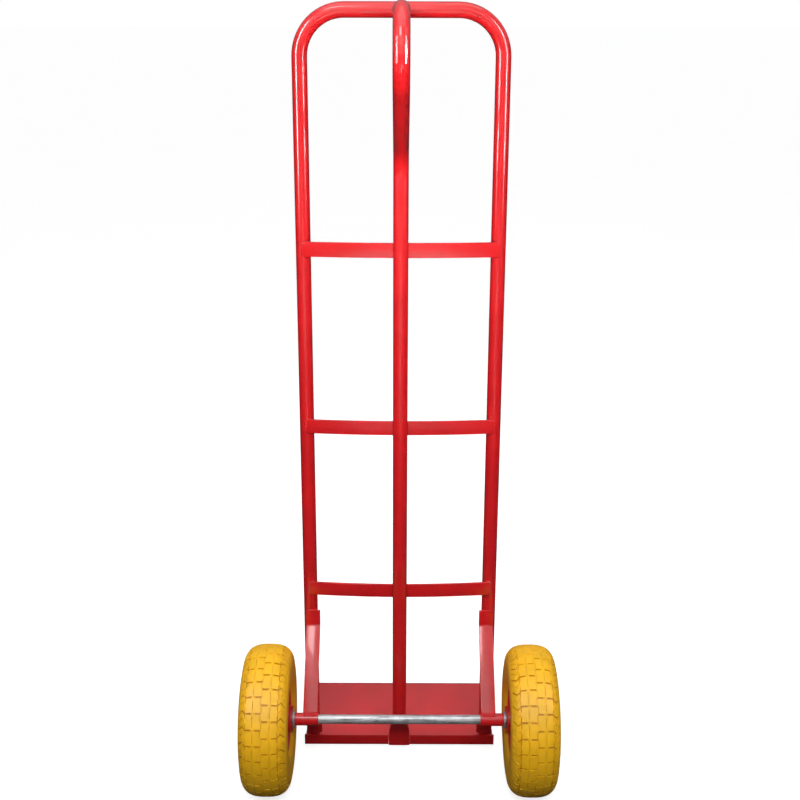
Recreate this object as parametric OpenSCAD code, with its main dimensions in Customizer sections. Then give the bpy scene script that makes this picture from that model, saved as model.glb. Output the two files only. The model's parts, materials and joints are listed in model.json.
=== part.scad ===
// Hand truck with a P-shaped handle, welded from steel tube and flat strip,
// on two solid tyres. +Y is the load side, -Y the side of the person who pushes it.

/* [Frame] */
// Height from the floor to the top of the top bar
overall_h = 1330; // [1000:10:1600]
// Distance between the centre lines of the two rails
rail_spacing = 324; // [240:2:420]
// Centre line radius of the frame's two top corners
corner_r = 71; // [45:1:100]
// Outside diameter of the bent tubes
tube_od = 25; // [20:0.5:32]
// Wall thickness of the bent tubes
tube_wall = 1.5; // [1:0.1:2.5]

/* [Crossbars] */
// Distance from the top of the frame down to the upper crossbar's middle
upper_bar_drop = 389; // [330:1:450]
// Height of the lower crossbar's middle above the floor
lower_bar_z = 324; // [310:1:420]
// Height of the flat strip that the crossbars are cut from
bar_h = 25; // [16:1:32]
// Thickness of that strip
bar_t = 4; // [3:0.5:6]
// How far each crossbar bows back at its middle
bar_bow = 10; // [6:1:16]

/* [Handle] */
// Distance from the rails' centre plane back to the rearmost point of the handle
handle_reach = 267.5; // [220:0.5:340]
// Centre line radius of both bends of the handle
handle_bend_r = 60; // [40:1:75]
// Slope of the handle's straight arm above the horizontal, in degrees
arm_slope = 30; // [20:1:40]
// Height at which the tube begins to be crushed flat for its foot
crush_top_z = 82; // [70:1:110]

/* [Toe plate] */
// Distance from the rails' centre plane forward to the toe plate's front edge
plate_front = 200; // [140:1:320]
// Width of plate left outside each rail
plate_margin = 3; // [2:0.5:30]
// Thickness of the plate
plate_t = 4; // [3:0.5:6]
// Height of the plate's upturned heel
heel_h = 22; // [16:1:26]
// Radius of the plate's front corners
plate_corner_r = 10; // [4:1:20]

/* [Axle brackets] */
// Distance from the rails' centre plane back to the axle
axle_back = 136; // [110:1:180]
// Diameter of the axle
axle_d = 16; // [12:0.5:20]
// Outside diameter of the sleeves that hold the axle
sleeve_od = 22; // [20.5:0.5:30]
// Length of each sleeve
sleeve_len = 41; // [36:1:60]
// Width of the flat strip of the stays
stay_w = 25; // [16:1:25]
// Thickness of that strip
stay_t = 5; // [3:0.5:6]
// How far the stays' middle lies inside the rail's centre line
stay_inset = 5; // [0:0.5:8]
// Height of the upper stay's top end
stay_top_z = 279; // [240:1:290]
// Height of the upper stay's bend
stay_bend_z = 250; // [210:1:260]

/* [Wheels] */
// Outside diameter of the tyres
tyre_d = 260; // [215:1:320]
// Width of the tyres
tyre_w = 84; // [74:1:105]
// Outside diameter of the wheel hubs
hub_od = 47; // [45:0.5:52]
// How far each hub reaches outwards from its wheel's middle plane
hub_out = 36.5; // [32:0.5:42]
// Outside radius of the rim's flanges
rim_r = 58; // [56:0.5:62]
// Thickness of the rim's pressed sheet
rim_t = 2; // [1.5:0.1:2.5]
// Outside diameter of the wheel bearings
bearing_od = 40; // [38:0.5:42]
// Width of the wheel bearings
bearing_w = 12; // [10:0.5:13]

/* [Hidden] */
$fn = 64;
frame_red = "#c8282c";
tyre_yellow = "#f0bf2c";
zinc = "#c9ccd2";
steel = "#a9adb3";

// Clearances
axle_fit = 0.05;       // round the axle, in its sleeves and bearings
washer_fit = 0.25;     // round the axle, in the washers
rail_hole_fit = 0.25;  // round each rail, where it passes the toe plate
heel_gap = 3;          // between the rails and the plate's heel
side_play = 0.5;       // either side of a washer, along the axle
bolt_fit = 0.2;        // round the rim's bolts
bead_fit = 0.1;        // between the tyre and the rim's barrel
race_fit = 0.1;        // round the balls, in the rings' grooves and the cage
weld_seat = 1;         // how deep a strip's curved seat lies on a tube
saddle_gap = 0.15;     // between the handle's shaped end and the top bar

// Frame
tube_r = tube_od / 2;
bore_r = tube_r - tube_wall;
half_track = rail_spacing / 2;
top_z = overall_h - tube_r;
rail_foot_z = 1;
deepest = max(handle_reach, axle_back + tyre_d / 2);
rail_y = (deepest - plate_front) / 2;
plate_w = rail_spacing + tube_od + 2 * plate_margin;

// Crossbars
upper_bar_z = overall_h - upper_bar_drop;
middle_bar_z = (upper_bar_z + lower_bar_z) / 2;
bar_r = (half_track * half_track + bar_bow * bar_bow) / (2 * bar_bow);
bar_end_y = rail_y - tube_r + weld_seat - bar_t / 2;

// Handle
handle_y = bar_end_y - bar_bow - bar_t / 2 - tube_r + weld_seat;
high_bend = [rail_y - handle_reach + tube_r + handle_bend_r, top_z - handle_bend_r];
arm_end = high_bend - handle_bend_r * [sin(arm_slope), cos(arm_slope)];
arm_start_y = handle_y - handle_bend_r * (1 - sin(arm_slope));
arm_start_z = arm_end.y - (arm_start_y - arm_end.x) * tan(arm_slope);
low_bend = [handle_y - handle_bend_r, arm_start_z - handle_bend_r * cos(arm_slope)];

// Toe plate and the crushed foot of the handle
handle_sides = 28;
heel_y = rail_y - tube_r - heel_gap - plate_t;
foot_z = 2;
foot_top_z = heel_h + 3;
foot_t = 2 * tube_wall;
foot_w = PI * (tube_od - tube_wall) / 2 + tube_wall;
foot_y = heel_y - foot_t / 2;

// Axle brackets
axle_y = rail_y - axle_back;
axle_z = tyre_d / 2;
axle_r = axle_d / 2;
axle_at = [axle_y, axle_z];
stay_x = half_track - stay_inset;
stay_y = rail_y - tube_r + weld_seat - stay_t / 2;
stay_foot_z = heel_h + 4;
stay_foot_bend_z = stay_foot_z + 28;
sleeve_in = stay_x - stay_w / 2 - 2.5;
sleeve_out = sleeve_in + sleeve_len;

// What stands in a row along the axle, from the sleeve outwards
washer_t = 2.5;
washer_r = axle_r + 6;
hub_in = tyre_w / 2 + 0.5;
washer_in_x = sleeve_out + side_play;
wheel_x = washer_in_x + washer_t + 2 * side_play + hub_in;
washer_out_x = wheel_x + hub_out + side_play;
pin_wire_r = 1.6;
pin_x = washer_out_x + washer_t + side_play + pin_wire_r;
axle_end_x = pin_x + 6;

// Wheels, in radii from the axle and distances out from the wheel's middle
hub_r = hub_od / 2;
barrel_r = 48;
bead_half_w = tyre_w / 2 - 12.5;
flange_half_w = bead_half_w + 4;
tyre_mid_r = tyre_d / 2 - 38;
tyre_power = 2.8;
bolt_r = 3;
bolt_circle_r = (hub_r + barrel_r) / 2 - 1.5;
bolt_count = 4;

// Bearings
ring_t = 3.5;
inner_ring_r = axle_r + ring_t;
outer_ring_r = bearing_od / 2 - ring_t;
pitch_r = (inner_ring_r + outer_ring_r) / 2;
ball_r = (outer_ring_r - inner_ring_r) / 2 + 0.8;
ball_count = 8;
bearing_mid = [-hub_in + bearing_w / 2, hub_out - bearing_w / 2];

// Unit vector from point a to point b
function heading(a, b) = (b - a) / norm(b - a);
// The normal on the left of a heading
function left_of(u) = [-u.y, u.x];
// Offset at corner i of a path, for a sheet's face at distance d to its left
function mitre(path, i, d) =
    let (before = left_of(heading(path[max(i - 1, 0)], path[max(i, 1)])),
         after = left_of(heading(path[min(i, len(path) - 2)],
                                 path[min(i + 1, len(path) - 1)])))
    path[i] + d * (before + after) / (1 + before * after);
// Closed outline of a sheet of thickness t whose middle follows a path
function sheet_outline(path, t) = concat(
    [for (i = [0:len(path) - 1]) mitre(path, i, t / 2)],
    [for (i = [len(path) - 1:-1:0]) mitre(path, i, -t / 2)]);
// The points of a round bend of radius r at corner b of the path a, b, c
function round_bend(a, b, c, r, steps = 6) =
    let (u = heading(b, a), v = heading(b, c),
         half = acos(u * v) / 2,
         centre = b + r / sin(half) * (u + v) / norm(u + v),
         from = b + u * r / tan(half) - centre,
         to = b + v * r / tan(half) - centre,
         turn = 180 - 2 * half)
    [for (i = [0:steps])
        centre + (from * sin(turn * (1 - i / steps)) + to * sin(turn * i / steps))
               / sin(turn)];

// Turns a drawing in X and Y upright, into the plane of Y and Z
module upright() rotate([90, 0, 90]) children();

// The U-bent tube of the frame, at radius r, with its two ends longer by extra
module frame_path(r, extra) {
    foot = rail_foot_z - extra;
    corner = [half_track - corner_r, top_z - corner_r];
    for (side = [-1, 1]) {
        translate([side * half_track, rail_y, foot]) cylinder(r = r, h = corner.y - foot);
        translate([side * corner.x, rail_y, corner.y]) rotate([90, 0, 0])
            rotate(side > 0 ? 0 : 90) rotate_extrude(angle = 90, $fn = 96)
                translate([corner_r, 0]) circle(r = r);
    }
    translate([-corner.x, rail_y, top_z]) rotate([0, 90, 0])
        cylinder(r = r, h = 2 * corner.x);
}

// The handle is swept through stations from its foot to the top bar. Each station is
// [centre in Y and Z, heading in degrees, half width, half thickness, roundness power]
foot_power = 5;
crush_steps = 8;
function blend(a, b, x) = a + (b - a) * x * x * (3 - 2 * x);
function handle_bend(centre, from, to, quarter_turn, steps) =
    [for (i = [0:steps])
        let (a = from + (to - from) * i / steps)
        [centre + handle_bend_r * [cos(a), sin(a)], a + quarter_turn, tube_r, tube_r, 2]];
handle_stations = concat(
    [[[foot_y, foot_z], 90, foot_w / 2, foot_t / 2, foot_power]],
    [for (i = [0:crush_steps])
        let (x = i / crush_steps)
        [[blend(foot_y, handle_y, x), foot_top_z + (crush_top_z - foot_top_z) * x], 90,
         blend(foot_w / 2, tube_r, x), blend(foot_t / 2, tube_r, x),
         blend(foot_power, 2, x)]],
    handle_bend(low_bend, 0, 90 - arm_slope, 90, 7),
    handle_bend(high_bend, 270 - arm_slope, 90, -90, 15),
    [[[rail_y, top_z], 0, tube_r, tube_r, 2]]);

// One ring of points round a station, with its wall thinned by trim
function handle_ring(station, trim, last) =
    [for (i = [0:handle_sides - 1])
        let (a = i * 360 / handle_sides,
             power = 2 / station[4],
             across = max(station[2] - trim, 0.2) * sign(cos(a)) * pow(abs(cos(a)), power),
             out = max(station[3] - trim, 0.2) * sign(sin(a)) * pow(abs(sin(a)), power),
             middle = station[0] + out * [-sin(station[1]), cos(station[1])],
             saddle = sqrt(pow(tube_r + saddle_gap, 2) - out * out))
        [across, middle.x - (last ? saddle : 0), middle.y]];

// The quads between ring i and ring i + 1 of a stack of rings
function ring_quads(first, count, inwards) =
    [for (ring = [0:count - 2], i = [0:handle_sides - 1])
        let (a = first + ring * handle_sides + i,
             b = first + ring * handle_sides + (i + 1) % handle_sides,
             quad = [a, b, b + handle_sides, a + handle_sides])
        inwards ? quad : [for (k = [3:-1:0]) quad[k]]];

module handle_tube() {
    count = len(handle_stations);
    hollow_from = 4;
    hollow_count = count - hollow_from;
    outer = [for (i = [0:count - 1]) each
        handle_ring(handle_stations[i], 0, i == count - 1)];
    inner = [for (i = [hollow_from:count - 1]) each
        handle_ring(handle_stations[i], tube_wall, i == count - 1)];
    outer_end = (count - 1) * handle_sides;
    inner_start = count * handle_sides;
    inner_end = inner_start + (hollow_count - 1) * handle_sides;
    rim = [for (i = [0:handle_sides - 1])
        let (j = (i + 1) % handle_sides)
        [inner_end + i, inner_end + j, outer_end + j, outer_end + i]];
    polyhedron(
        points = concat(outer, inner),
        faces = concat(
            [[for (i = [0:handle_sides - 1]) i]],
            ring_quads(0, count, false),
            rim,
            ring_quads(inner_start, hollow_count, true),
            [[for (i = [handle_sides - 1:-1:0]) inner_start + i]]));
}

module bowed_bar(z) {
    half_angle = asin(half_track / bar_r);
    difference() {
        translate([0, bar_end_y - bar_bow + bar_r, z - bar_h / 2])
            rotate(270 - half_angle)
                rotate_extrude(angle = 2 * half_angle, $fn = 360)
                    translate([bar_r - bar_t / 2, 0]) square([bar_t, bar_h]);
        for (x = [-half_track, half_track])
            translate([x, rail_y, z - bar_h]) cylinder(r = tube_r, h = 2 * bar_h);
        translate([0, handle_y, z - bar_h]) cylinder(r = tube_r, h = 2 * bar_h);
    }
}

// A strip of the axle brackets on the right-hand side, along a path in Y and Z
module stay(path)
    difference() {
        translate([stay_x - stay_w / 2, 0, 0]) upright()
            linear_extrude(stay_w) polygon(sheet_outline(path, stay_t));
        translate([half_track, rail_y, 0]) cylinder(r = tube_r, h = overall_h / 2);
        on_axle(0) cylinder(d = sleeve_od, h = axle_end_x);
    }

// Turns +Z outwards along the right half of the axle, starting at distance x
module on_axle(x) translate([x, axle_y, axle_z]) rotate([0, 90, 0]) children();
module on_wheel() on_axle(wheel_x) children();
module mirrored() mirror([1, 0, 0]) children();

module ring(outer_r, inner_r, h)
    difference() {
        cylinder(r = outer_r, h = h);
        translate([0, 0, -1]) cylinder(r = inner_r, h = h + 2);
    }

// A ring of both bearings, from inner_r to outer_r, with a groove for the balls
module grooved_rings(inner_r, outer_r)
    for (mid = bearing_mid)
        translate([0, 0, mid]) rotate_extrude() difference() {
            translate([inner_r, -bearing_w / 2]) square([outer_r - inner_r, bearing_w]);
            translate([pitch_r, 0]) circle(r = ball_r + race_fit, $fn = 48);
        }

// One pressed half of the rim, with its dish facing outwards
module rim_half() {
    sheet_r = barrel_r - rim_t / 2;
    path = concat(
        [[hub_r, rim_t / 2]],
        round_bend([hub_r, rim_t / 2], [sheet_r, rim_t / 2], [sheet_r, bead_half_w], 5),
        round_bend([sheet_r, 0], [sheet_r, flange_half_w - 4],
                   [rim_r, flange_half_w], 2.5),
        [[rim_r, flange_half_w]]);
    difference() {
        rotate_extrude() polygon(sheet_outline(path, rim_t));
        rim_bolt_places() translate([0, 0, -1])
            cylinder(r = bolt_r + bolt_fit, h = rim_t + 2);
    }
}

module rim_bolt_places()
    for (i = [0:bolt_count - 1])
        rotate(45 + i * 360 / bolt_count) translate([bolt_circle_r, 0, 0]) children();

// --- Frame ---

module outer_frame() color(frame_red)
    difference() {
        frame_path(tube_r, 0);
        frame_path(bore_r, 1);
    }

module p_handle() color(frame_red) handle_tube();

module crossbar_upper() color(frame_red) bowed_bar(upper_bar_z);
module crossbar_middle() color(frame_red) bowed_bar(middle_bar_z);
module crossbar_lower() color(frame_red) bowed_bar(lower_bar_z);

module toe_plate() color(frame_red) {
    front_y = rail_y + plate_front;
    nose = 2;
    profile = concat(
        [[front_y, 0], [front_y, plate_t - nose], [front_y - 3 * nose, plate_t]],
        round_bend([front_y, plate_t], [heel_y + plate_t, plate_t],
                   [heel_y + plate_t, heel_h], 2),
        [[heel_y + plate_t, heel_h], [heel_y, heel_h]],
        round_bend([heel_y, heel_h], [heel_y, 0], [front_y, 0], plate_t + 1));
    difference() {
        translate([-plate_w / 2, 0, 0]) upright()
            linear_extrude(plate_w) polygon(profile);
        for (side = [-1, 1]) {
            translate([side * half_track, rail_y, -1])
                cylinder(r = tube_r + rail_hole_fit, h = plate_t + 2);
            scale([side, 1, 1])
                translate([plate_w / 2 - plate_corner_r, front_y - plate_corner_r, -1])
                    difference() {
                        cube([plate_corner_r + 1, plate_corner_r + 1, plate_t + 2]);
                        cylinder(r = plate_corner_r, h = plate_t + 2);
                    }
        }
    }
}

// --- Axle brackets, modelled on the right-hand side ---

module axle_stay_upper_right() color(frame_red) {
    top = [stay_y, stay_top_z];
    corner = [stay_y, stay_bend_z];
    stay(concat([top], round_bend(top, corner, axle_at, 9), [axle_at]));
}

module axle_stay_lower_right() color(frame_red) {
    foot = [stay_y, stay_foot_z];
    corner = [stay_y, stay_foot_bend_z];
    stay(concat([foot], round_bend(foot, corner, axle_at, 9), [axle_at]));
}

module axle_sleeve_right() color(frame_red)
    on_axle(sleeve_in) ring(sleeve_od / 2, axle_r + axle_fit, sleeve_len);

module axle_stay_upper_left() mirrored() axle_stay_upper_right();
module axle_stay_lower_left() mirrored() axle_stay_lower_right();
module axle_sleeve_left() mirrored() axle_sleeve_right();

// --- Axle and what holds the wheels on it ---

module axle() color(zinc) {
    bevel = 1;
    half_length = axle_end_x - bevel;
    difference() {
        union() {
            on_axle(-half_length) cylinder(r = axle_r, h = 2 * half_length);
            for (side = [-1, 1])
                scale([side, 1, 1]) on_axle(half_length)
                    cylinder(r1 = axle_r, r2 = axle_r - bevel, h = bevel);
        }
        for (x = [-pin_x, pin_x])
            translate([x, axle_y, 0]) cylinder(r = pin_wire_r + 0.15, h = 2 * axle_z);
    }
}

module washer_inner_right() color(zinc)
    on_axle(washer_in_x) ring(washer_r, axle_r + washer_fit, washer_t);
module washer_outer_right() color(zinc)
    on_axle(washer_out_x) ring(washer_r, axle_r + washer_fit, washer_t);

module split_pin_right() color(zinc) {
    reach = axle_r + 4;
    eye_r = 3;
    translate([pin_x, axle_y, axle_z]) {
        translate([0, 0, -reach]) cylinder(r = pin_wire_r, h = 2 * reach);
        translate([0, 0, reach + eye_r]) rotate([0, 90, 0])
            rotate_extrude() translate([eye_r, 0]) circle(r = pin_wire_r - 0.2, $fn = 32);
        for (tilt = [-40, 40])
            translate([0, 0, -reach + 0.8]) rotate([180 + tilt, 0, 0])
                cylinder(r = pin_wire_r - 0.5, h = 9);
    }
}

module washer_inner_left() mirrored() washer_inner_right();
module washer_outer_left() mirrored() washer_outer_right();
module split_pin_left() mirrored() split_pin_right();

module bearing_inner_rings_right() color(steel)
    on_wheel() grooved_rings(axle_r + axle_fit, inner_ring_r);
module bearing_inner_rings_left() mirrored() bearing_inner_rings_right();

// --- Wheels, modelled on the right-hand side ---

module tyre_right() color(tyre_yellow) {
    steps = 14;
    bead_r = rim_r + 4;
    drop = tyre_mid_r - barrel_r;
    // Rounded section from the crown at 90 degrees down to the bead
    low = -asin(pow((tyre_mid_r - bead_r) / drop, tyre_power / 2));
    side = [for (i = [0:steps])
        let (a = 90 + (low - 90) * i / steps,
             rise = a > 0 ? tyre_d / 2 - tyre_mid_r : drop,
             s = tyre_w / 2 * pow(max(cos(a), 0), 2 / tyre_power),
             r = tyre_mid_r + sign(a) * rise * pow(abs(sin(a)), 2 / tyre_power))
        [r, s]];
    bead = [[rim_r + 1, bead_half_w + 2.8], [barrel_r + bead_fit, bead_half_w - 1.5]];
    half = concat(side, bead);
    other = [for (i = [len(half) - 1:-1:1]) [half[i].x, -half[i].y]];
    on_wheel() rotate_extrude($fn = 96) polygon(concat(half, other));
}

module rim_outer_right() color(frame_red) on_wheel() rim_half();
module rim_inner_right() color(frame_red) on_wheel() mirror([0, 0, 1]) rim_half();

module hub_right() color(frame_red)
    on_wheel() difference() {
        translate([0, 0, -hub_in]) cylinder(r = hub_r, h = hub_in + hub_out);
        translate([0, 0, -hub_in - 1])
            cylinder(r = bearing_od / 2 - 3, h = hub_in + hub_out + 2);
        for (mid = bearing_mid)
            translate([0, 0, mid + (mid > 0 ? -bearing_w / 2 : -bearing_w / 2 - 1)])
                cylinder(d = bearing_od, h = bearing_w + 1);
    }

module rim_bolts_right() color(zinc)
    on_wheel() rim_bolt_places() {
        translate([0, 0, -rim_t - 8]) cylinder(r = bolt_r, h = 2 * rim_t + 8);
        translate([0, 0, rim_t]) cylinder(d = 11.5, h = 4, $fn = 6);
    }

module rim_nuts_right() color(zinc)
    on_wheel() rim_bolt_places() translate([0, 0, -rim_t - 5]) difference() {
        cylinder(d = 11.5, h = 5, $fn = 6);
        translate([0, 0, -1]) cylinder(r = bolt_r, h = 7);
    }

module bearing_outer_rings_right() color(steel)
    on_wheel() grooved_rings(outer_ring_r, bearing_od / 2);

module bearing_shields_right() color(steel) {
    shield_t = 0.6;
    on_wheel() for (mid = bearing_mid, side = [-1, 1])
        translate([0, 0, mid + side * (bearing_w / 2 - 0.8) - shield_t / 2])
            ring(outer_ring_r, inner_ring_r + 0.7, shield_t);
}

module bearing_balls_right() color(steel)
    on_wheel() ball_places() sphere(r = ball_r, $fn = 32);

module ball_places()
    for (mid = bearing_mid, i = [0:ball_count - 1])
        translate([0, 0, mid]) rotate(i * 360 / ball_count)
            translate([pitch_r, 0, 0]) children();

module bearing_cages_right() color(zinc) {
    cage_w = 2 * ball_r + 1;
    on_wheel() difference() {
        for (mid = bearing_mid)
            translate([0, 0, mid - cage_w / 2]) ring(pitch_r + 0.6, pitch_r - 0.6, cage_w);
        ball_places() rotate([0, 90, 0])
            cylinder(r = ball_r + race_fit, h = 4, center = true);
    }
}

module tyre_left() mirrored() tyre_right();
module rim_inner_left() mirrored() rim_inner_right();
module rim_outer_left() mirrored() rim_outer_right();
module hub_left() mirrored() hub_right();
module rim_bolts_left() mirrored() rim_bolts_right();
module rim_nuts_left() mirrored() rim_nuts_right();
module bearing_outer_rings_left() mirrored() bearing_outer_rings_right();
module bearing_shields_left() mirrored() bearing_shields_right();
module bearing_balls_left() mirrored() bearing_balls_right();
module bearing_cages_left() mirrored() bearing_cages_right();

outer_frame();
p_handle();
crossbar_upper();
crossbar_middle();
crossbar_lower();
toe_plate();
axle_stay_upper_left();
axle_stay_upper_right();
axle_stay_lower_left();
axle_stay_lower_right();
axle_sleeve_left();
axle_sleeve_right();
axle();
washer_inner_left();
washer_inner_right();
washer_outer_left();
washer_outer_right();
split_pin_left();
split_pin_right();
bearing_inner_rings_left();
bearing_inner_rings_right();
tyre_left();
rim_inner_left();
rim_outer_left();
rim_bolts_left();
rim_nuts_left();
hub_left();
bearing_outer_rings_left();
bearing_shields_left();
tyre_right();
rim_inner_right();
rim_outer_right();
rim_bolts_right();
rim_nuts_right();
hub_right();
bearing_outer_rings_right();
bearing_shields_right();
bearing_balls_left();
bearing_cages_left();
bearing_balls_right();
bearing_cages_right();
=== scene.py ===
"""Hand truck: the looks of a red steel truck on yellow tyres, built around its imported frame."""

import json
import math

import bpy
from mathutils import Matrix, Vector


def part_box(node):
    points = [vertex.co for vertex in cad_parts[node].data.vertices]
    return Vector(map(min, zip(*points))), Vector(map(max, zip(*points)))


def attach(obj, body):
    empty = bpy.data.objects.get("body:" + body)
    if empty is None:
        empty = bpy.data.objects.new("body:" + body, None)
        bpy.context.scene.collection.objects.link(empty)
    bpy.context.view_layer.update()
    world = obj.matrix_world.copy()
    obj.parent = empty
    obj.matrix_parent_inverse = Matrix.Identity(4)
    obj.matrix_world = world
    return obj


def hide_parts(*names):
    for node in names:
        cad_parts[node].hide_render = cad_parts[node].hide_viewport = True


bl_info = {
    "name": "Hand truck",
    "version": (1, 0, 0),
    "blender": (4, 5, 0),
    "location": "3D View > Sidebar > Hand truck",
    "description": "Builds the treaded tyres, welds, rounded strips and finishes of a hand truck",
    "category": "Add Mesh",
}

MM = 0.001
SIDES = ("left", "right")

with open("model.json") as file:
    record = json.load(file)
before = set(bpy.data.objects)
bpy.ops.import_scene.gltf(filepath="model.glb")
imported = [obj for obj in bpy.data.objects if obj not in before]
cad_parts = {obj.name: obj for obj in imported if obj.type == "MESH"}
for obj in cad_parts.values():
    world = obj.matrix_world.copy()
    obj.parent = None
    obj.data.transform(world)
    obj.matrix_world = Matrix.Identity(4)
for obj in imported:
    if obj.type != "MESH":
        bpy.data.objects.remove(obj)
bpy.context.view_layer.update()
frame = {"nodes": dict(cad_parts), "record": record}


# ------------------------------------------------------------------ places, read off the frame

def middle(node):
    """The middle of a CAD node's box."""
    low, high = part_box(node)
    return (low + high) / 2


def outward(side):
    """+1 on the right-hand side of the truck, -1 on the left."""
    return 1 if side == "right" else -1


AXLE = middle("axle")
TYRE_LOW, TYRE_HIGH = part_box("tyre_right")
TYRE_R = (TYRE_HIGH.z - TYRE_LOW.z) / 2
TYRE_HALF_W = (TYRE_HIGH.x - TYRE_LOW.x) / 2
WHEEL_X = (TYRE_HIGH.x + TYRE_LOW.x) / 2
RAIL_LOW, RAIL_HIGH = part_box("outer_frame")
RAIL_Y = (RAIL_LOW.y + RAIL_HIGH.y) / 2
TUBE_R = (RAIL_HIGH.y - RAIL_LOW.y) / 2
RAIL_X = RAIL_HIGH.x - TUBE_R
TOP_Z = RAIL_HIGH.z - TUBE_R


# ------------------------------------------------------------------ settings

class TruckFinish(bpy.types.PropertyGroup):
    """Colours and gloss of the truck's finishes."""

    coat_colour: bpy.props.FloatVectorProperty(
        name="Frame colour", description="Powder coat of the frame and rims",
        subtype="COLOR", size=3, min=0, max=1, default=(0.62, 0.010, 0.013))
    coat_roughness: bpy.props.FloatProperty(
        name="Frame roughness", description="Roughness of the powder coat",
        subtype="FACTOR", min=0, max=1, default=0.24)
    tyre_colour: bpy.props.FloatVectorProperty(
        name="Tyre colour", description="Moulded foam of the tyres",
        subtype="COLOR", size=3, min=0, max=1, default=(0.95, 0.52, 0.012))
    zinc_colour: bpy.props.FloatVectorProperty(
        name="Zinc colour", description="Plating of the axle, washers, pins, bolts and nuts",
        subtype="COLOR", size=3, min=0, max=1, default=(0.80, 0.82, 0.85))


class TreadSizes(bpy.types.PropertyGroup):
    """Sizes of the tyres' tread."""

    pitches: bpy.props.IntProperty(
        name="Blocks a row", description="Blocks in each of the tread's two rows",
        min=20, max=40, default=30)
    depth: bpy.props.FloatProperty(
        name="Groove depth", description="Depth of the grooves between the blocks",
        subtype="DISTANCE", unit="LENGTH", min=0.5 * MM, max=4 * MM, default=2.8 * MM)


class WeldSizes(bpy.types.PropertyGroup):
    """Sizes of the weld beads."""

    bead: bpy.props.FloatProperty(
        name="Bead", description="Mean radius of a weld bead",
        subtype="DISTANCE", unit="LENGTH", min=1 * MM, max=4 * MM, default=1.8 * MM)
    edge: bpy.props.FloatProperty(
        name="Strip edge", description="Radius of the rounded edges of strip and plate",
        subtype="DISTANCE", unit="LENGTH", min=0.2 * MM, max=1.5 * MM, default=0.7 * MM)


# ------------------------------------------------------------------ shader maths

class Sock:
    """A shader value whose operators add Math nodes."""

    def __init__(self, mat, socket):
        self.mat, self.socket = mat, socket

    def _math(self, operation, *values):
        return self.mat.node("ShaderNodeMath", {"operation": operation},
                             dict(enumerate(values)))

    def __add__(self, other): return self._math("ADD", self, other)
    def __radd__(self, other): return self._math("ADD", other, self)
    def __sub__(self, other): return self._math("SUBTRACT", self, other)
    def __rsub__(self, other): return self._math("SUBTRACT", other, self)
    def __mul__(self, other): return self._math("MULTIPLY", self, other)
    def __rmul__(self, other): return self._math("MULTIPLY", other, self)


class Mat:
    """The nodes of one finish, or of the air around the truck."""

    def __init__(self, owner, shader="Principled BSDF", place="Object"):
        owner.use_nodes = True
        self.owner = owner
        self.tree = owner.node_tree
        self.shader = self.tree.nodes[shader]
        self.place = self.node("ShaderNodeTexCoord", out=place)

    @classmethod
    def named(cls, name):
        return cls(bpy.data.materials.new(name))

    def node(self, kind, settings=None, sockets=None, out=0):
        """Adds a node with its settings, fills its sockets, and returns one output."""
        made = self.tree.nodes.new(kind)
        for key, value in (settings or {}).items():
            setattr(made, key, value)
        for key, value in (sockets or {}).items():
            self.put(made.inputs[key], value)
        return Sock(self, made.outputs[out])

    def put(self, socket, value):
        """Links a value to a socket, or sets it there when it is a constant."""
        if isinstance(value, Sock):
            self.tree.links.new(value.socket, socket)
        else:
            socket.default_value = value

    def set(self, **sockets):
        """Fills the main shader's sockets."""
        for name, value in sockets.items():
            self.put(self.shader.inputs[name.replace("_", " ")], value)

    def scaled(self, x, y, z):
        """The place on the piece, stretched along each axis."""
        return self.node("ShaderNodeVectorMath", {"operation": "MULTIPLY"},
                         {0: self.place, 1: (x, y, z)})

    def noise(self, scale, detail=3.0, roughness=0.5, at=None):
        return self.node("ShaderNodeTexNoise", {},
                         {"Vector": at or self.place, "Scale": scale,
                          "Detail": detail, "Roughness": roughness})

    def band(self, value, low, high):
        """0 below low, 1 above high, smooth between."""
        return self.node("ShaderNodeMapRange", {"interpolation_type": "SMOOTHSTEP"},
                         {"Value": value, "From Min": low, "From Max": high})

    def mix(self, factor, first, second):
        """Blends two colours."""
        # A colour Mix has its colour sockets behind those for numbers and vectors
        return self.node("ShaderNodeMix", {"data_type": "RGBA"},
                         {0: factor, 6: first, 7: second}, out=2)

    def bump(self, height, distance, strength):
        return self.node("ShaderNodeBump", {},
                         {"Height": height, "Distance": distance, "Strength": strength})


def rgba(colour, gain=1.0):
    """A colour made lighter or darker, with its alpha."""
    return tuple(min(1.0, c * gain) for c in colour) + (1.0,)


def powder_coat(name, colour, roughness):
    """Gloss powder coat: a faint orange peel, thin and thick patches and fine dust specks."""
    mat = Mat.named(name)
    peel = mat.noise(420, detail=1.5, roughness=0.4)
    wave = mat.noise(60, detail=2.0)
    patch = mat.band(mat.noise(9, detail=4.0, roughness=0.6), 0.35, 0.7)
    speck = mat.band(mat.noise(900, detail=1.0), 0.72, 0.78)
    tone = mat.mix(patch, rgba(colour, 0.93), rgba(colour, 1.07))
    mat.set(Base_Color=mat.mix(speck * 0.25, tone, rgba(colour, 0.7)),
            Roughness=patch * 0.05 + speck * 0.15 + (roughness - 0.03),
            Coat_Weight=0.55, Coat_Roughness=0.04, Specular_IOR_Level=0.5,
            Normal=mat.bump(peel + wave * 0.6, 0.30 * MM, 0.45))
    return mat.owner


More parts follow.
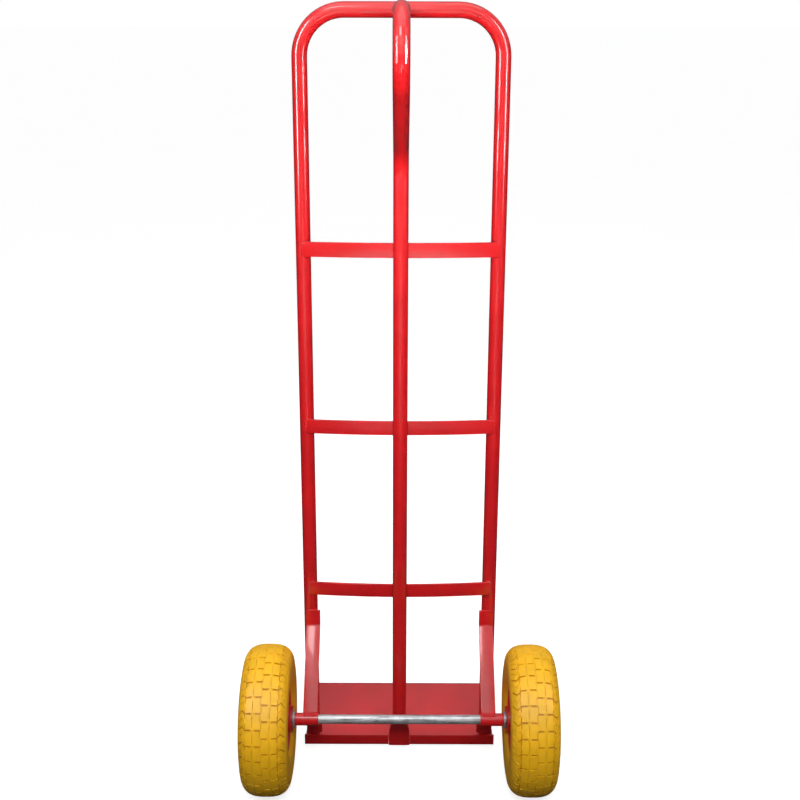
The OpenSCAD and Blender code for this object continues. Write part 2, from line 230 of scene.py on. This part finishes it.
def moulded_foam(name, colour):
    """Matt moulded foam: mottled, finely pitted, and darker in the tread's grooves, partly with
    dust and partly with painted shade.
    """
    mat = Mat.named(name)
    cloud = mat.band(mat.noise(26, detail=5.0, roughness=0.65), 0.3, 0.75)
    grain = mat.noise(1400, detail=2.0)
    pit = mat.band(mat.noise(420, detail=2.0, roughness=0.4), 0.64, 0.74)
    sunk = mat.node("ShaderNodeAttribute", {"attribute_name": "sunk"}, out="Fac")
    red, green, blue = colour
    clean = mat.mix(cloud, rgba(colour, 0.92), rgba(colour, 1.05))
    pitted = mat.mix(pit * 0.5, clean, rgba((red * 0.85, green * 0.7, blue * 0.6)))
    # Darker where the tread is sunk: partly dust, partly painted shade in the grooves
    groove_dust_and_painted_shade = rgba((red * 0.50, green * 0.26, blue * 0.30))
    mat.set(Base_Color=mat.mix(mat.band(sunk, 0.3, 1.0) * 0.65, pitted, groove_dust_and_painted_shade),
            Roughness=cloud * 0.08 + pit * 0.12 + 0.40,
            Specular_IOR_Level=0.3,
            Normal=mat.bump(grain * 0.25 - pit * 0.8, 0.22 * MM, 0.5))
    return mat.owner


def bright_zinc(name, colour, roughness, stretch):
    """Bright zinc plate with darker lines, stretched along an axis, and cloudy patches; along the
    axle the darker lines are partly drawn lines and partly a painted dark reflection.
    """
    mat = Mat.named(name)
    lines = mat.noise(1.0, detail=4.0, roughness=0.65, at=mat.scaled(*stretch))
    patches = mat.noise(60, detail=4.0, roughness=0.6)
    cloud = mat.band(lines * 0.7 + patches * 0.3, 0.38, 0.56)
    spot = mat.band(mat.noise(240, detail=2.0), 0.66, 0.72)
    # The darker streaks in the colour stand partly for drawn lines and partly for a painted dark
    # reflection
    tone = mat.mix(cloud, rgba(colour, 0.34), rgba(colour, 0.80))
    mat.set(Base_Color=mat.mix(spot * 0.5, tone, rgba(colour, 0.5)), Metallic=0.65,
            Roughness=lines * 0.16 + cloud * 0.08 + spot * 0.2 + roughness,
            Normal=mat.bump(lines, 0.05 * MM, 0.5))
    return mat.owner


def ground_steel(name):
    """Ground bearing steel with fine rings of tool marks."""
    mat = Mat.named(name)
    marks = mat.noise(1.0, detail=3.0, at=mat.scaled(40, 1500, 1500))
    film = mat.band(mat.noise(120, detail=3.0), 0.4, 0.7)
    mat.set(Base_Color=mat.mix(film, (0.42, 0.42, 0.44, 1), (0.58, 0.58, 0.60, 1)),
            Metallic=1.0, Roughness=marks * 0.15 + film * 0.1 + 0.22,
            Normal=mat.bump(marks, 0.03 * MM, 0.5))
    return mat.owner


# The rims and the hardware are darker copies of the frame's coat and the axle's zinc, by this
# share: painted shade
SMALL_PART_SHADE = 0.9
RIM_EXTRA_ROUGHNESS = 0.06
AXLE_ROUGHNESS = 0.27
HARDWARE_ROUGHNESS = 0.30
# The axle's streaks run long along it: drawn lines and a painted dark reflection
DRAWN_LINES_AND_PAINTED_REFLECTION_ALONG_AXLE = (14, 420, 420)
EVEN_GRAIN = (500, 500, 500)


def finish(name):
    """The truck's own material of that name, made once."""
    found = bpy.data.materials.get(name)
    if found:
        return found
    chosen = bpy.context.scene.truck_finish
    if name == "Red powder coat":
        return powder_coat(name, chosen.coat_colour, chosen.coat_roughness)
    # Darker copies of the frame's coat and of the axle's zinc: painted shade
    if name == "Rim powder coat":
        return powder_coat(name, tuple(c * SMALL_PART_SHADE for c in chosen.coat_colour),
                           chosen.coat_roughness + RIM_EXTRA_ROUGHNESS)
    if name == "Yellow tyre foam":
        return moulded_foam(name, chosen.tyre_colour)
    if name == "Drawn axle zinc":
        return bright_zinc(name, chosen.zinc_colour, AXLE_ROUGHNESS, DRAWN_LINES_AND_PAINTED_REFLECTION_ALONG_AXLE)
    if name == "Hardware zinc":
        return bright_zinc(name, tuple(c * SMALL_PART_SHADE for c in chosen.zinc_colour),
                           HARDWARE_ROUGHNESS, EVEN_GRAIN)
    return ground_steel(name)


def dress(obj, name):
    """Gives an object one material."""
    obj.data.materials.clear()
    obj.data.materials.append(finish(name))


# ------------------------------------------------------------------ modelling helpers

def deselect():
    """Leaves edit mode and selects nothing."""
    if bpy.context.object and bpy.context.object.mode != "OBJECT":
        bpy.ops.object.mode_set(mode="OBJECT")
    bpy.ops.object.select_all(action="DESELECT")


def pick(obj):
    """Selects one object alone and makes it the active one."""
    deselect()
    obj.select_set(True)
    bpy.context.view_layer.objects.active = obj
    return obj


def start(name):
    """Names the primitive that was just added."""
    obj = bpy.context.object
    obj.name = obj.data.name = name
    return obj


def settle(obj):
    """Puts an object's place, turn and size into its mesh."""
    pick(obj)
    bpy.ops.object.transform_apply(location=True, rotation=True, scale=True)
    return obj


def apply_modifier(obj, kind, **settings):
    """Adds a modifier and applies it at once."""
    pick(obj)
    added = obj.modifiers.new(kind.title(), kind)
    for key, value in settings.items():
        setattr(added, key, value)
    bpy.ops.object.modifier_apply(modifier=added.name)
    return obj


def join(parts, name):
    """Joins pieces into one object."""
    pick(parts[0])
    for part in parts:
        part.select_set(True)
    bpy.ops.object.join()
    return start(name)


def smooth(obj, degrees):
    """Shades smooth across every edge that turns less than the angle."""
    pick(obj)
    bpy.ops.object.shade_smooth_by_angle(angle=math.radians(degrees))
    return obj


def finished(obj, body, material):
    """Hands a finished piece to the body it moves with."""
    dress(obj, material)
    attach(obj, body)
    return obj


# ------------------------------------------------------------------ tyres

# The round section is a superellipse, with its widest place at TYRE_MID_R. It is followed from
# the crown down to BEAD_R, where the bead turns in to the rim and lies on its barrel.
TYRE_MID_R = TYRE_R - 38 * MM
TYRE_POWER = 2.8
SECTION_FOOT_R = 48 * MM
SECTION_STEPS = 120
BEAD_R = 62 * MM
BARREL_R = 48.1 * MM
BEAD_HALF_W = TYRE_HALF_W - 12.5 * MM
BEAD_TURN = ((BEAD_HALF_W + 2.8 * MM, 59 * MM), (BEAD_HALF_W - 1.5 * MM, BARREL_R))


def tyre_section():
    """Half of the tyre's round section from the crown to the bead: (out along the axle, radius)."""
    drop = TYRE_MID_R - SECTION_FOOT_R
    lowest = -math.asin(((TYRE_MID_R - BEAD_R) / drop) ** (TYRE_POWER / 2))
    power = 2 / TYRE_POWER
    points = []
    for i in range(SECTION_STEPS + 1):
        turn = math.pi / 2 + (lowest - math.pi / 2) * i / SECTION_STEPS
        rise = TYRE_R - TYRE_MID_R if turn > 0 else drop
        out = TYRE_HALF_W * max(math.cos(turn), 0) ** power
        up = math.copysign(abs(math.sin(turn)) ** power, turn) * rise
        points.append(Vector((out, TYRE_MID_R + up)))
    return points


class TyreSkin:
    """Finds a point of the tyre's skin from its distance along the section."""

    def __init__(self):
        self.points = tyre_section()
        self.along = [0.0]
        for a, b in zip(self.points, self.points[1:]):
            self.along.append(self.along[-1] + (b - a).length)
        self.length = self.along[-1]

    def at(self, distance, height):
        """(out, radius) at a signed distance from the crown, raised by height."""
        wanted = min(abs(distance), self.length)
        i = 0
        while i < len(self.along) - 2 and self.along[i + 1] < wanted:
            i += 1
        a, b = self.points[i], self.points[i + 1]
        share = (wanted - self.along[i]) / (self.along[i + 1] - self.along[i])
        point, run = a.lerp(b, share), (b - a).normalized()
        point = point + Vector((-run.y, run.x)) * height
        return (math.copysign(point.x, distance) if distance else 0.0), point.y


# Where the tread's features lie, in distance from the crown along the section
CENTRE_HALF_GROOVE = 0.8 * MM
ROW_MIDDLE = 14.2 * MM
ROW_OUTER = 27 * MM
SHOULDER_INNER = 28.6 * MM
SHOULDER_PEAK = 34 * MM
SHOULDER_OUTER = 47 * MM
STEP_INNER = SHOULDER_OUTER + 3 * MM
STEP_OUTER = SHOULDER_OUTER + 3.8 * MM
WALL_START = SHOULDER_OUTER + 4 * MM
NOTCH_INNER = SHOULDER_PEAK - 4 * MM
PLAIN_LINES = (5 * MM, 9 * MM, 19 * MM, 23 * MM, 31 * MM, 38 * MM, 42.5 * MM)
WALL_LINES = 10

# Widths and heights of the cuts
GROOVE_W = 2.6 * MM
SLIT_HALF_W = 0.6 * MM
PIT_HALF_W = SLIT_HALF_W * 2.0
BRIDGE_HALF_W = SLIT_HALF_W * 2.3
WALL_STEP = 1.0 * MM
EDGE = 0.3 * MM
CENTRE_WAVE = 0.9 * MM

# Depths of the shallower cuts, in shares of the groove's depth
CENTRE_CUT = 0.45
SLIT_CUT = 0.6
TROUGH_CUT = 0.9
TROUGH_BRIDGE_CUT = 0.35
NOTCH_CUT = 0.5

# How far cuts reach round the tyre, in shares of a pitch
PIT_REACH = 0.035
SLIT_REACH = 0.28
TROUGH_REACH = 0.3
WAVE_REACH = 0.24
PLAIN_MARKS = (0.13, 0.22, 0.25, 0.28, 0.36, 0.63, 0.72, 0.75, 0.78, 0.86)

# How far the shoulder's cross grooves lean round the tyre, out to the peak and back again
LEAN_OUT = 6 * MM
LEAN_BACK = 10 * MM
LEAN_FADE = 20 * MM


def tread_lines(skin):
    """Distances from the crown at which the skin has an edge loop, on one side."""
    walls = (CENTRE_HALF_GROOVE, ROW_OUTER, SHOULDER_INNER)
    slit = (SLIT_HALF_W * 0.6, SLIT_HALF_W + EDGE * 0.4, SLIT_HALF_W * 2.2)
    lines = [0.0, SHOULDER_PEAK, *PLAIN_LINES]
    lines += [w + d for w in walls for d in (-EDGE / 2, EDGE / 2)]
    lines += [ROW_MIDDLE + sign * d for sign in (-1, 1) for d in slit]
    lines += [SHOULDER_OUTER - EDGE, SHOULDER_OUTER + EDGE, STEP_INNER, STEP_OUTER]
    reach = skin.length - WALL_START
    lines += [WALL_START + reach * (i + 1) / WALL_LINES for i in range(WALL_LINES)]
    return sorted(lines)


def round_lines(pitch):
    """Places round the tyre, within one pitch, at which the skin has an edge loop."""
    half = GROOVE_W / 2 / pitch
    edge = EDGE / pitch
    marks = list(PLAIN_MARKS)
    for middle_of_groove in (0.0, 0.5):
        marks += [middle_of_groove + d for d in (-half - edge, -half, half, half + edge)]
    return sorted(m % 1.0 for m in marks)


def near(value, target, reach):
    """Distance round the pitch, in shares of it, is within reach."""
    gap = abs((value - target + 0.5) % 1.0 - 0.5)
    return gap <= reach + 1e-9


def relief(out, share, side_sign, depth, pitch):
    """Height of the tread at a distance from the crown and a share of the pitch."""
    local = (share + (0.5 if side_sign > 0 else 0.0)) % 1.0
    groove_reach = GROOVE_W / 2 / pitch
    groove = near(local, 0.0, groove_reach)
    if out < CENTRE_HALF_GROOVE:
        return -depth * CENTRE_CUT
    if out < ROW_OUTER:
        from_middle = abs(out - ROW_MIDDLE)
        if groove:
            return 0.0 if from_middle < BRIDGE_HALF_W else -depth
        if from_middle < PIT_HALF_W and near(local, 0.5, PIT_REACH):
            return -depth
        if from_middle < SLIT_HALF_W and near(local, 0.5, SLIT_REACH):
            return -depth * SLIT_CUT
        return 0.0
    if out < SHOULDER_INNER:
        cut = near(local, 0.0, TROUGH_REACH)
        return -depth * (TROUGH_CUT if cut else TROUGH_BRIDGE_CUT)
    if out < SHOULDER_OUTER:
        if groove:
            return -depth
        notch = near(local, 0.5, groove_reach) and out > NOTCH_INNER
        return -depth * NOTCH_CUT if notch else 0.0
    return -WALL_STEP if out < (STEP_INNER + STEP_OUTER) / 2 else -WALL_STEP / 2


def chevron(out):
    """How far the cross grooves are carried round the tyre at a distance from the crown."""
    if out < ROW_OUTER:
        return 0.0
    if out < SHOULDER_PEAK:
        return LEAN_OUT * (out - ROW_OUTER) / (SHOULDER_PEAK - ROW_OUTER)
    fall = (min(out, SHOULDER_OUTER) - SHOULDER_PEAK) / (SHOULDER_OUTER - SHOULDER_PEAK)
    fade = min(1.0, max(0.0, 1 - (out - SHOULDER_OUTER) / LEAN_FADE))
    return (LEAN_OUT - LEAN_BACK * fall) * fade


def tread_pitch(name, skin, pitches, depth):
    """One pitch of the tyre's skin, as a grid that is shaped onto the round section."""
    pitch = 2 * math.pi * TYRE_R / pitches
    lines = tread_lines(skin)
    across = [-x for x in reversed(lines[1:])] + lines
    marks = round_lines(pitch)
    marks.append(marks[0] + 1.0)
    deselect()
    bpy.ops.mesh.primitive_grid_add(x_subdivisions=len(across) - 1,
                                    y_subdivisions=len(marks) - 1, size=1)
    obj = start(name)
    # How deep each point is sunk; the foam is painted darker there, with dust and painted shade
    sunk = obj.data.attributes.new("sunk", "FLOAT", "POINT")
    # Row by row round the tyre, and across it within a row
    ordered = sorted(obj.data.vertices, key=lambda v: (round(v.co.y, 4), round(v.co.x, 4)))
    for index, vertex in enumerate(ordered):
        row, column = divmod(index, len(across))
        distance, share = across[column], marks[row]
        side_sign = 1 if distance > 0 else -1
        height = relief(abs(distance), share, side_sign, depth, pitch)
        wave = 0.0
        if abs(distance) < CENTRE_HALF_GROOVE + EDGE:
            wave = CENTRE_WAVE if near(share, 0.25, WAVE_REACH) else -CENTRE_WAVE
        out, radius = skin.at(distance + wave, height)
        if distance == 0:
            out = wave
        turn = (share * pitch + chevron(abs(distance))) / TYRE_R
        vertex.co = (out, -radius * math.sin(turn), radius * math.cos(turn))
        sunk.data[vertex.index].value = min(1.0, -height / depth)
    return obj


def ring_of(obj, pitches):
    """Copies one pitch all the way round the axle and closes the seam."""
    copies = []
    for i in range(pitches):
        pick(obj)
        bpy.ops.object.duplicate()
        made = bpy.context.object
        made.data.transform(Matrix.Rotation(2 * math.pi * i / pitches, 4, "X"))
        copies.append(made)
    name = obj.name
    bpy.data.objects.remove(obj)
    ring = join(copies, name)
    bpy.ops.object.mode_set(mode="EDIT")
    bpy.ops.mesh.select_all(action="SELECT")
    bpy.ops.mesh.remove_doubles(threshold=0.02 * MM)
    bpy.ops.object.mode_set(mode="OBJECT")
    return ring


def close_beads(obj):
    """Carries both open edges down to the rim's barrel and joins them there."""
    pick(obj)
    bpy.ops.object.mode_set(mode="EDIT")
    bpy.ops.mesh.select_mode(type="EDGE")
    bpy.ops.mesh.select_all(action="DESELECT")
    bpy.ops.mesh.select_non_manifold(use_wire=False, use_multi_face=False,
                                     use_non_contiguous=False, use_verts=False)
    for out, radius in BEAD_TURN:
        bpy.ops.mesh.extrude_edges_move()
        bpy.ops.object.mode_set(mode="OBJECT")
        for vertex in obj.data.vertices:
            if vertex.select:
                x, y, z = vertex.co
                scale = radius / math.hypot(y, z)
                vertex.co = (math.copysign(out, x), y * scale, z * scale)
        bpy.ops.object.mode_set(mode="EDIT")
    bpy.ops.mesh.bridge_edge_loops()
    bpy.ops.mesh.select_all(action="SELECT")
    bpy.ops.mesh.normals_make_consistent(inside=False)
    bpy.ops.object.mode_set(mode="OBJECT")
    return obj


class TRUCK_OT_tyres(bpy.types.Operator):
    """Model the two treaded tyres"""

    bl_idname = "truck.tyres"
    bl_label = "Treaded tyres"

    def execute(self, context):
        sizes = context.scene.truck_tread
        skin = TyreSkin()
        for side in SIDES:
            tyre = tread_pitch(f"treaded_tyre_{side}", skin, sizes.pitches, sizes.depth)
            tyre = close_beads(ring_of(tyre, sizes.pitches))
            turn = Matrix.Rotation(0 if side == "right" else math.pi, 4, "Z")
            place = Matrix.Translation((outward(side) * WHEEL_X, AXLE.y, AXLE.z))
            tyre.data.transform(place @ turn)
            smooth(tyre, degrees=40)
            finished(tyre, f"wheel_{side}", "Yellow tyre foam")
            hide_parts(f"tyre_{side}")
        return {"FINISHED"}


# ------------------------------------------------------------------ strips and plate

CROSSBARS = ["crossbar_upper", "crossbar_middle", "crossbar_lower"]
STAYS = [f"axle_stay_{level}_{side}" for level in ("upper", "lower") for side in SIDES]
ROUNDED = [*CROSSBARS, "toe_plate", *STAYS]

# Degrees: faces that turn less than the first are one flat, and edges from the second are rounded
FLAT_WITHIN = 0.5
CORNER_FROM = 50


class TRUCK_OT_strips(bpy.types.Operator):
    """Round the edges of the flat strips and the toe plate"""

    bl_idname = "truck.strips"
    bl_label = "Rounded strips and plate"

    def execute(self, context):
        edge = context.scene.truck_welds.edge
        for node in ROUNDED:
            piece = bpy.data.objects.new(f"{node}_rounded", frame["nodes"][node].data.copy())
            context.collection.objects.link(piece)
            pick(piece)
            bpy.ops.object.mode_set(mode="EDIT")
            bpy.ops.mesh.select_all(action="SELECT")
            bpy.ops.mesh.remove_doubles(threshold=0.01 * MM)
            bpy.ops.mesh.dissolve_limited(angle_limit=math.radians(FLAT_WITHIN))
            bpy.ops.object.mode_set(mode="OBJECT")
            apply_modifier(piece, "BEVEL", width=edge, segments=3, limit_method="ANGLE",
                           angle_limit=math.radians(CORNER_FROM), use_clamp_overlap=True)
            smooth(piece, degrees=30)
            finished(piece, "frame", "Red powder coat")
            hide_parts(node)
        return {"FINISHED"}


# ------------------------------------------------------------------ weld beads

RAIL_BACK = RAIL_Y - TUBE_R
PLATE_T = 4 * MM
SADDLE_STEPS = 12
CIRCLE_STEPS = 30

# How far short of a strip's edges a bead stops, and how far out of the steel its middle lies
SHORT_OF_EDGE = 1 * MM
SHORT_OF_CORNER = 2 * MM
SHORT_AT_HANDLE = 3 * MM
PROUD_OF_RAIL = 1 * MM
PROUD_OF_STAY = 2.5 * MM
PROUD_OF_HEEL = 0.5 * MM
SUNK_IN_STRIP = 0.5 * MM

# The short beads over a crossbar's edges: each end's place inside the rail's middle, and how far
# behind the rail's back it lies
EDGE_BEAD = ((9 * MM, -1 * MM), (1 * MM, 0.5 * MM))

# Where a crossbar's beads lie beside the handle, in shares of the tube's radius
BESIDE_HANDLE = 0.62

# Where the beads lie on the sleeve, in degrees over the top from the rear
SLEEVE_SEATS = (136, 66)

# A bead's shape, in shares of its radius, and of its length for the taper
BEAD_SIDES = 8
BEAD_LUMP = 0.34
BEAD_TAPER = 0.12
BEAD_END = 0.35
RING_SPACING = 0.45


def stations_along(points, radius):
    """Places evenly along a run of points, each with its direction."""
    total = sum((b - a).length for a, b in zip(points, points[1:]))
    count = max(6, int(total / (radius * RING_SPACING)))
    stations, i, walked = [], 0, 0.0
    for k in range(count + 1):
        along = total * k / count
        while i < len(points) - 2 and walked + (points[i + 1] - points[i]).length < along:
            walked += (points[i + 1] - points[i]).length
            i += 1
        step = points[i + 1] - points[i]
        stations.append((points[i] + step * ((along - walked) / step.length), step.normalized()))
    return stations


def bead_along(name, points, radius):
    """A weld bead: a lumpy round cord pressed along a run of points."""
    stations = stations_along(points, radius)
    count = len(stations) - 1
    deselect()
    bpy.ops.mesh.primitive_cylinder_add(vertices=BEAD_SIDES, radius=1, depth=count)
    bead = start(name)
    bpy.ops.object.mode_set(mode="EDIT")
    bpy.ops.mesh.select_mode(type="EDGE")
    bpy.ops.mesh.select_all(action="DESELECT")
    bpy.ops.object.mode_set(mode="OBJECT")
    for edge in bead.data.edges:
        bottom, top = sorted(bead.data.vertices[v].co.z for v in edge.vertices)
        edge.select = top > bottom
    bpy.ops.object.mode_set(mode="EDIT")
    bpy.ops.mesh.subdivide(number_cuts=count - 1)
    bpy.ops.object.mode_set(mode="OBJECT")
    for vertex in bead.data.vertices:
        k = round(vertex.co.z + count / 2)
        place, run = stations[k]
        from_end = min(k, count - k) / (BEAD_TAPER * count + 1)
        lump = 1 + BEAD_LUMP * (math.sin(k * 2.1) + 0.5 * math.sin(k * 5.3 + 1))
        size = radius * lump * min(1.0, BEAD_END + from_end)
        side = run.orthogonal().normalized()
        vertex.co = place + size * (side * vertex.co.x + run.cross(side) * vertex.co.y)
    return bead


def upright(x, y, bottom, top):
    """A run that goes straight up."""
    return [Vector((x, y, bottom)), Vector((x, y, top))]


def level(x_from, x_to, y, z):
    """A run along the truck's width."""
    return [Vector((x_from, y, z)), Vector((x_to, y, z))]


def circle(centre, radius):
    """A level run all round an upright tube."""
    turns = (2 * math.pi * i / CIRCLE_STEPS for i in range(CIRCLE_STEPS + 1))
    return [centre + radius * Vector((math.cos(a), math.sin(a), 0)) for a in turns]


def crossbar_welds():
    """Beads where each crossbar lies on the rails and on the handle."""
    runs = []
    for node in CROSSBARS:
        low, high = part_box(node)
        for sign in (-1, 1):
            runs.append(upright(sign * high.x, RAIL_BACK - PROUD_OF_RAIL,
                                low.z + SHORT_OF_EDGE, high.z - SHORT_OF_EDGE))
            for z in (low.z, high.z):
                runs.append([Vector((sign * (RAIL_X - inside), RAIL_BACK - behind, z))
                             for inside, behind in EDGE_BEAD])
            runs.append(upright(sign * TUBE_R * BESIDE_HANDLE, low.y + SUNK_IN_STRIP,
                                low.z + SHORT_AT_HANDLE, high.z - SHORT_AT_HANDLE))
    return runs


def handle_welds():
    """Beads round the handle's end at the top bar and along its crushed foot."""
    plate_low, plate_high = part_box("toe_plate")
    foot_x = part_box("p_handle")[1].x
    runs = []
    for sign in (-1, 1):
        saddle = []
        for i in range(SADDLE_STEPS + 1):
            a = -math.pi / 2 + math.pi * i / SADDLE_STEPS
            rise = TUBE_R * math.sin(a)
            reach = math.sqrt(max(TUBE_R ** 2 - rise ** 2, 0))
            saddle.append(Vector((sign * TUBE_R * math.cos(a), RAIL_Y - reach, TOP_Z + rise)))
        runs.append(saddle)
    for sign in (-1, 1):
        runs.append(upright(sign * foot_x, plate_low.y - PROUD_OF_HEEL,
                            plate_low.z + PLATE_T, plate_high.z - SHORT_OF_EDGE))
    return runs


def bracket_welds(side):
    """Beads at the stays' ends, on the rail and on the sleeve, and round the rail's foot."""
    sign = outward(side)
    upper_low, upper_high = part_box(f"axle_stay_upper_{side}")
    lower_low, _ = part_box(f"axle_stay_lower_{side}")
    sleeve_low, sleeve_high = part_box(f"axle_sleeve_{side}")
    sleeve_r = (sleeve_high.z - sleeve_low.z) / 2
    inner, outer = sorted((abs(upper_low.x), abs(upper_high.x)))

    runs = [level(sign * (inner + SHORT_OF_CORNER), sign * outer, RAIL_BACK - PROUD_OF_STAY, z)
            for z in (upper_high.z, lower_low.z)]
    for seat in SLEEVE_SEATS:
        turn = math.radians(seat)
        runs.append(level(sign * (inner + SHORT_OF_EDGE), sign * (outer - SHORT_OF_EDGE),
                          AXLE.y - sleeve_r * math.cos(turn),
                          AXLE.z + sleeve_r * math.sin(turn)))
    plate_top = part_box("toe_plate")[0].z + PLATE_T
    runs.append(circle(Vector((sign * RAIL_X, RAIL_Y, plate_top)), TUBE_R))
    return runs


class TRUCK_OT_welds(bpy.types.Operator):
    """Lay the weld beads that hold the frame together"""

    bl_idname = "truck.welds"
    bl_label = "Weld beads"

    def execute(self, context):
        bead = context.scene.truck_welds.bead
        groups = {"welds_crossbars": crossbar_welds(), "welds_handle": handle_welds()}
        for side in SIDES:
            groups[f"welds_bracket_{side}"] = bracket_welds(side)
        for name, runs in groups.items():
            beads = [bead_along(f"{name}_{i}", run, bead) for i, run in enumerate(runs)]
            welds = join(beads, name)
            smooth(welds, degrees=60)
            finished(welds, "frame", "Red powder coat")
        return {"FINISHED"}


# ------------------------------------------------------------------ carried-over pieces

class TRUCK_OT_finishes(bpy.types.Operator):
    """Give every carried-over piece of the frame its finish"""

    bl_idname = "truck.finishes"
    bl_label = "Finishes"

    BY_SLOT = {
        "red_coat": "Red powder coat",
        "red_rim": "Rim powder coat",
        "yellow_tyre": "Yellow tyre foam",
        "axle_plating": "Drawn axle zinc",
        "zinc_hardware": "Hardware zinc",
        "bearing_steel": "Ground bearing steel",
    }

    def execute(self, context):
        for part in frame["record"]["subparts"]:
            node = frame["nodes"][part["node"]]
            dress(node, self.BY_SLOT[part["material_slot"]])
        return {"FINISHED"}


# ------------------------------------------------------------------ stage

CAMERA_BACK = 1.977
CAMERA_HEIGHT = 1.303
CAMERA_ASIDE = -0.5 * MM
CAMERA_PITCH = 17.6
CAMERA_ROLL = 0.18
CAMERA_LENS = 54.0
CAMERA_SENSOR = 36.0

# Wide enough for its far edge to be lost in the white, and just clear of the toe plate
FLOOR_SIZE = 400
FLOOR_DROP = 0.3 * MM
FLOOR_GLOW = 0.78


def pale_floor(name):
    """A pale matt studio floor, lit up to white where it is seen directly."""
    mat = Mat.named(name)
    haze = mat.noise(1.5, detail=2.0)
    seen = mat.node("ShaderNodeLightPath", out="Is Camera Ray")
    pale = mat.mix(haze, (0.48, 0.48, 0.49, 1), (0.52, 0.52, 0.52, 1))
    mat.set(Base_Color=mat.mix(seen, (0.04, 0.04, 0.04, 1), pale),
            Roughness=haze * 0.1 + 0.75, Specular_IOR_Level=0.1,
            Emission_Color=mat.mix(seen, (0, 0, 0, 1), (1, 1, 1, 1)),
            Emission_Strength=FLOOR_GLOW)
    return mat.owner


def studio_air():
    """Soft air, brighter overhead than at the horizon, and white where it is seen directly."""
    air = Mat(bpy.data.worlds.new("Studio air"), "Background", "Generated")
    up = air.node("ShaderNodeSeparateXYZ", sockets={0: air.place}, out="Z")
    light = air.mix(air.band(up, -0.1, 0.8), (0.11, 0.11, 0.12, 1), (0.46, 0.46, 0.47, 1))
    seen = air.node("ShaderNodeLightPath", out="Is Camera Ray")
    air.set(Color=air.mix(seen, light, (1, 1, 1, 1)))
    return air.owner


def softbox(name, size, energy, place, target, seen_in=("gloss", "matt"), spread=180):
    """A rectangular soft light that faces a point, for gloss, for matt light or for both."""
    bpy.ops.object.light_add(type="AREA", location=place)
    lamp = bpy.context.object
    lamp.name = name
    lamp.data.shape = "RECTANGLE"
    lamp.data.size, lamp.data.size_y = size
    lamp.data.energy = energy
    lamp.visible_camera = False
    lamp.visible_glossy = "gloss" in seen_in
    lamp.visible_diffuse = "matt" in seen_in
    lamp.data.spread = math.radians(spread)
    aim = Vector(target) - Vector(place)
    lamp.rotation_euler = aim.to_track_quat("-Z", "Y").to_euler()


class TRUCK_OT_stage(bpy.types.Operator):
    """Set up the floor, the soft studio light and the camera"""

    bl_idname = "truck.stage"
    bl_label = "Stage"

    def execute(self, context):
        deselect()
        bpy.ops.mesh.primitive_plane_add(size=FLOOR_SIZE, location=(0, 0, -FLOOR_DROP))
        floor = settle(start("studio_floor"))
        floor.data.materials.append(pale_floor("Pale floor"))

        context.scene.world = studio_air()
        context.scene.view_settings.view_transform = "Standard"

        softbox("front_softbox", size=(1.4, 0.7), energy=14, place=(0, -1.9, 1.95),
                target=(0, 0, 1.0), seen_in="matt", spread=90)
        softbox("low_fill", size=(0.6, 0.4), energy=2.4, place=(0, -1.6, 0.35),
                target=(0, -0.1, 1.25), seen_in="matt", spread=50)
        softbox("load_side_fill", size=(1.6, 1.2), energy=13, place=(0, 2.5, 1.9),
                target=(0, 0, 0.7), seen_in="matt")
        softbox("overhead_softbox", size=(2.4, 1.6), energy=15, place=(0, -0.2, 3.2),
                target=(0, -0.2, 0))
        softbox("left_panel", size=(0.9, 0.65), energy=16, place=(-0.60, -1.75, 3.2),
                target=(-0.15, 0, 0.2), seen_in="gloss")
        softbox("left_strip", size=(0.09, 1.1), energy=26, place=(-1.05, -0.80, 1.45),
                target=(0, 0, 1.2), seen_in="gloss")
        softbox("right_strip", size=(0.05, 1.1), energy=18, place=(1.05, -0.72, 1.45),
                target=(0, 0, 1.2), seen_in="gloss")

        bpy.ops.object.camera_add(
            location=(CAMERA_ASIDE, RAIL_Y - CAMERA_BACK, CAMERA_HEIGHT))
        camera = context.object
        tilt = Matrix.Rotation(math.radians(90 - CAMERA_PITCH), 3, "X")
        roll = Matrix.Rotation(math.radians(CAMERA_ROLL), 3, "Z")
        camera.rotation_euler = (tilt @ roll).to_euler()
        camera.data.lens, camera.data.sensor_width = CAMERA_LENS, CAMERA_SENSOR
        context.scene.camera = camera
        return {"FINISHED"}


# ------------------------------------------------------------------ add-on

class TRUCK_PT_panel(bpy.types.Panel):
    """Shows the truck's settings and a button for each step that builds it"""

    bl_label = "Hand truck"
    bl_idname = "TRUCK_PT_panel"
    bl_space_type = "VIEW_3D"
    bl_region_type = "UI"
    bl_category = "Hand truck"

    def draw(self, context):
        for group in ("truck_finish", "truck_tread", "truck_welds"):
            settings = getattr(context.scene, group)
            for key in settings.__annotations__:
                self.layout.prop(settings, key)
        for step in STEPS:
            self.layout.operator(step.bl_idname)


STEPS = (TRUCK_OT_stage, TRUCK_OT_finishes, TRUCK_OT_strips, TRUCK_OT_tyres, TRUCK_OT_welds)
GROUPS = {"truck_finish": TruckFinish, "truck_tread": TreadSizes, "truck_welds": WeldSizes}


def register():
    for group in GROUPS.values():
        bpy.utils.register_class(group)
    for step in STEPS:
        bpy.utils.register_class(step)
    bpy.utils.register_class(TRUCK_PT_panel)
    for name, group in GROUPS.items():
        setattr(bpy.types.Scene, name, bpy.props.PointerProperty(type=group))


def unregister():
    for name in GROUPS:
        delattr(bpy.types.Scene, name)
    bpy.utils.unregister_class(TRUCK_PT_panel)
    for step in reversed(STEPS):
        bpy.utils.unregister_class(step)
    for group in GROUPS.values():
        bpy.utils.unregister_class(group)


def main():
    register()
    for step in STEPS:
        group, name = step.bl_idname.split(".")
        getattr(getattr(bpy.ops, group), name)()


if __name__ == "__main__":
    main()
